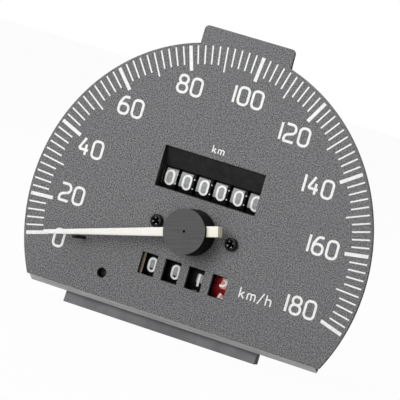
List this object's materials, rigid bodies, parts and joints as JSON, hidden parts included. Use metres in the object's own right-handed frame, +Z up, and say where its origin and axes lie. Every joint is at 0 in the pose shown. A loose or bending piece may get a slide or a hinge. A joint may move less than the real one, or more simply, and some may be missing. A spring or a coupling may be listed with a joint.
{
  "type": "vintage speedometer",
  "caption": "Vintage magnetic speedometer movement with a round grey dial, flat foot, ivory pointer, drum odometer, trip counter with reset plunger, gear train and cable socket.",
  "frame": {"origin": "on the pointer axis, at the mouth of the cable socket behind the movement", "axes": "+Y along the pointer axis, out of the back of the instrument; +X to the reader's right; +Z up. The dial faces -Y."},
  "size_m": [0.0994, 0.063, 0.0811],
  "materials": {
    "dial_paint": "fine-grained matt grey paint",
    "black_steel": "satin black",
    "mask_paint": "matt dark grey paint",
    "cast_alloy": "as cast, satin",
    "plate_steel": "zinc plated",
    "bright_steel": "ground and polished",
    "brass": "turned, lightly tarnished",
    "bronze": "sintered bearing bronze",
    "spring_bronze": "drawn spring strip",
    "spring_steel": "drawn wire",
    "ivory_plastic": "ivory, slightly yellowed at the tail",
    "hub_plastic": "matt dark grey",
    "drum_black": "matt black",
    "drum_red": "matt dark red",
    "gear_plastic": "natural nylon",
    "magnet_alloy": "ground cast magnet alloy",
    "flux_steel": "drawn soft iron",
    "cup_aluminium": "spun, thin"
  },
  "bodies": {
    "movement": {"dial_plate": "dial_paint", "dial_screws": "black_steel", "stop_pin": "black_steel", "odometer_mask": "mask_paint", "chassis": "cast_alloy", "dial_pillars": "brass", "spindle_tube": "brass", "frame_pillars": "plate_steel", "rear_plate": "plate_steel", "pillar_screws": "plate_steel", "cable_socket": "cast_alloy", "socket_screws": "plate_steel", "drive_bush": "bronze", "hairspring": "spring_bronze", "spring_stud": "bright_steel", "odometer_rod": "bright_steel", "trip_rod": "bright_steel", "odometer_pinion_rod": "bright_steel", "trip_pinion_rod": "bright_steel", "odometer_washer": "brass", "trip_washer": "brass", "gear_bridge": "brass", "bridge_screws": "plate_steel", "reset_spring": "spring_steel"},
    "pointer": {"pointer_blade": "ivory_plastic", "pointer_hub": "hub_plastic", "pointer_spindle": "bright_steel", "spring_collet": "brass", "speed_cup": "cup_aluminium"},
    "drive": {"drive_shaft": "bright_steel", "drive_magnet": "magnet_alloy", "flux_cup": "flux_steel"},
    "cross": {"cross_shaft": "bright_steel", "worm_wheel": "brass"},
    "layshaft": {"reduction_gear": "brass"},
    "odometer_gear": {"odometer_wheel": "gear_plastic"},
    "idler": {"idler_gear": "brass"},
    "trip_gear": {"trip_wheel": "gear_plastic"},
    "odometer_6": {"odometer_drum_6": "drum_black"},
    "odometer_carry_6": {"odometer_pinion_6": "gear_plastic"},
    "odometer_5": {"odometer_drum_5": "drum_black"},
    "odometer_carry_5": {"odometer_pinion_5": "gear_plastic"},
    "odometer_4": {"odometer_drum_4": "drum_black"},
    "odometer_carry_4": {"odometer_pinion_4": "gear_plastic"},
    "odometer_3": {"odometer_drum_3": "drum_black"},
    "odometer_carry_3": {"odometer_pinion_3": "gear_plastic"},
    "odometer_2": {"odometer_drum_2": "drum_black"},
    "odometer_carry_2": {"odometer_pinion_2": "gear_plastic"},
    "odometer_1": {"odometer_drum_1": "drum_black"},
    "odometer_carry_1": {"odometer_pinion_1": "gear_plastic"},
    "trip_4": {"trip_drum_4": "drum_red"},
    "trip_3": {"trip_drum_3": "drum_black"},
    "trip_carry_3": {"trip_pinion_3": "gear_plastic"},
    "trip_2": {"trip_drum_2": "drum_black"},
    "trip_carry_2": {"trip_pinion_2": "gear_plastic"},
    "trip_1": {"trip_drum_1": "drum_black"},
    "trip_carry_1": {"trip_pinion_1": "gear_plastic"},
    "reset_button": {"reset_plunger": "bright_steel"},
    "reset_swing": {"reset_comb": "plate_steel"}
  },
  "joints": [
    {"name": "pointer_swing", "type": "hinge", "parent": "movement", "child": "pointer", "pos_m": [0, -0.05612, 0], "axis": [0, 1, 0], "range_deg": [0, 212], "stiffness_Nm_per_rad": 0.00005, "springref_deg": -20.05, "deforming": ["hairspring"]},
    {"name": "drive_spin", "type": "hinge", "parent": "movement", "child": "drive", "pos_m": [0, -0.02116, 0], "axis": [0, 1, 0], "continuous": true},
    {"name": "cross_spin", "type": "hinge", "parent": "movement", "child": "cross", "pos_m": [0, -0.02116, 0.00525], "axis": [1, 0, 0], "continuous": true},
    {"name": "layshaft_spin", "type": "hinge", "parent": "movement", "child": "layshaft", "pos_m": [0, -0.03528, 0.00907], "axis": [1, 0, 0], "continuous": true},
    {"name": "odometer_gear_spin", "type": "hinge", "parent": "movement", "child": "odometer_gear", "pos_m": [0, -0.04502, 0.0117], "axis": [1, 0, 0], "continuous": true},
    {"name": "idler_spin", "type": "hinge", "parent": "movement", "child": "idler", "pos_m": [0, -0.04532, 0.00005], "axis": [1, 0, 0], "continuous": true},
    {"name": "trip_gear_spin", "type": "hinge", "parent": "movement", "child": "trip_gear", "pos_m": [0, -0.04562, -0.0116], "axis": [1, 0, 0], "continuous": true},
    {"name": "odometer_6_spin", "type": "hinge", "parent": "movement", "child": "odometer_6", "pos_m": [0, -0.04502, 0.0117], "axis": [1, 0, 0], "continuous": true},
    {"name": "odometer_carry_6_spin", "type": "hinge", "parent": "movement", "child": "odometer_carry_6", "pos_m": [0, -0.03948, 0.01961], "axis": [1, 0, 0], "continuous": true},
    {"name": "odometer_5_spin", "type": "hinge", "parent": "movement", "child": "odometer_5", "pos_m": [0, -0.04502, 0.0117], "axis": [1, 0, 0], "continuous": true},
    {"name": "odometer_carry_5_spin", "type": "hinge", "parent": "movement", "child": "odometer_carry_5", "pos_m": [0, -0.03948, 0.01961], "axis": [1, 0, 0], "continuous": true},
    {"name": "odometer_4_spin", "type": "hinge", "parent": "movement", "child": "odometer_4", "pos_m": [0, -0.04502, 0.0117], "axis": [1, 0, 0], "continuous": true},
    {"name": "odometer_carry_4_spin", "type": "hinge", "parent": "movement", "child": "odometer_carry_4", "pos_m": [0, -0.03948, 0.01961], "axis": [1, 0, 0], "continuous": true},
    {"name": "odometer_3_spin", "type": "hinge", "parent": "movement", "child": "odometer_3", "pos_m": [0, -0.04502, 0.0117], "axis": [1, 0, 0], "continuous": true},
    {"name": "odometer_carry_3_spin", "type": "hinge", "parent": "movement", "child": "odometer_carry_3", "pos_m": [0, -0.03948, 0.01961], "axis": [1, 0, 0], "continuous": true},
    {"name": "odometer_2_spin", "type": "hinge", "parent": "movement", "child": "odometer_2", "pos_m": [0, -0.04502, 0.0117], "axis": [1, 0, 0], "continuous": true},
    {"name": "odometer_carry_2_spin", "type": "hinge", "parent": "movement", "child": "odometer_carry_2", "pos_m": [0, -0.03948, 0.01961], "axis": [1, 0, 0], "continuous": true},
    {"name": "odometer_1_spin", "type": "hinge", "parent": "movement", "child": "odometer_1", "pos_m": [0, -0.04502, 0.0117], "axis": [1, 0, 0], "continuous": true},
    {"name": "odometer_carry_1_spin", "type": "hinge", "parent": "movement", "child": "odometer_carry_1", "pos_m": [0, -0.03948, 0.01961], "axis": [1, 0, 0], "continuous": true},
    {"name": "trip_4_spin", "type": "hinge", "parent": "movement", "child": "trip_4", "pos_m": [0, -0.04562, -0.0116], "axis": [-1, 0, 0], "continuous": true},
    {"name": "trip_3_spin", "type": "hinge", "parent": "movement", "child": "trip_3", "pos_m": [0, -0.04562, -0.0116], "axis": [-1, 0, 0], "continuous": true},
    {"name": "trip_carry_3_spin", "type": "hinge", "parent": "movement", "child": "trip_carry_3", "pos_m": [0, -0.04008, -0.01951], "axis": [-1, 0, 0], "continuous": true},
    {"name": "trip_2_spin", "type": "hinge", "parent": "movement", "child": "trip_2", "pos_m": [0, -0.04562, -0.0116], "axis": [-1, 0, 0], "continuous": true},
    {"name": "trip_carry_2_spin", "type": "hinge", "parent": "movement", "child": "trip_carry_2", "pos_m": [0, -0.04008, -0.01951], "axis": [-1, 0, 0], "continuous": true},
    {"name": "trip_1_spin", "type": "hinge", "parent": "movement", "child": "trip_1", "pos_m": [0, -0.04562, -0.0116], "axis": [-1, 0, 0], "continuous": true},
    {"name": "trip_carry_1_spin", "type": "hinge", "parent": "movement", "child": "trip_carry_1", "pos_m": [0, -0.04008, -0.01951], "axis": [-1, 0, 0], "continuous": true},
    {"name": "reset_push", "type": "slide", "parent": "movement", "child": "reset_button", "axis": [0, 1, 0], "range_m": [0, 0.003], "stiffness_N_per_m": 300, "springref_m": -0.001, "deforming": ["reset_spring"]},
    {"name": "reset_comb_swing", "type": "hinge", "parent": "movement", "child": "reset_swing", "pos_m": [0, -0.04962, -0.02202], "axis": [-1, 0, 0], "range_deg": [0, 38.73]}
  ],
  "couplings": [
    {"joint": "cross_spin", "follows": "drive_spin", "ratio": -0.05},
    {"joint": "layshaft_spin", "follows": "drive_spin", "ratio": 0.01},
    {"joint": "odometer_gear_spin", "follows": "drive_spin", "ratio": -0.0016},
    {"joint": "idler_spin", "follows": "drive_spin", "ratio": 0.0047059},
    {"joint": "trip_gear_spin", "follows": "drive_spin", "ratio": -0.0016},
    {"joint": "odometer_6_spin", "follows": "drive_spin", "ratio": -0.00016},
    {"joint": "odometer_carry_6_spin", "follows": "drive_spin", "ratio": 0.0004},
    {"joint": "odometer_5_spin", "follows": "drive_spin", "ratio": -0.000016},
    {"joint": "odometer_carry_5_spin", "follows": "drive_spin", "ratio": 0.00004},
    {"joint": "odometer_4_spin", "follows": "drive_spin", "ratio": -0.0000016},
    {"joint": "odometer_carry_4_spin", "follows": "drive_spin", "ratio": 0.000004},
    {"joint": "odometer_3_spin", "follows": "drive_spin", "ratio": -0.00000016},
    {"joint": "odometer_carry_3_spin", "follows": "drive_spin", "ratio": 0.0000004},
    {"joint": "odometer_2_spin", "follows": "drive_spin", "ratio": -0.000000016},
    {"joint": "odometer_carry_2_spin", "follows": "drive_spin", "ratio": 0.00000004},
    {"joint": "odometer_1_spin", "follows": "drive_spin", "ratio": -0.0000000016},
    {"joint": "odometer_carry_1_spin", "follows": "drive_spin", "ratio": 0.000000004},
    {"joint": "trip_3_spin", "follows": "trip_4_spin", "ratio": 0.1},
    {"joint": "trip_carry_3_spin", "follows": "trip_4_spin", "ratio": -0.25},
    {"joint": "trip_2_spin", "follows": "trip_4_spin", "ratio": 0.01},
    {"joint": "trip_carry_2_spin", "follows": "trip_4_spin", "ratio": -0.025},
    {"joint": "trip_1_spin", "follows": "trip_4_spin", "ratio": 0.001},
    {"joint": "trip_carry_1_spin", "follows": "trip_4_spin", "ratio": -0.0025},
    {"joint": "reset_comb_swing", "follows": "reset_push", "rad_per_m": 225.26}
  ]
}
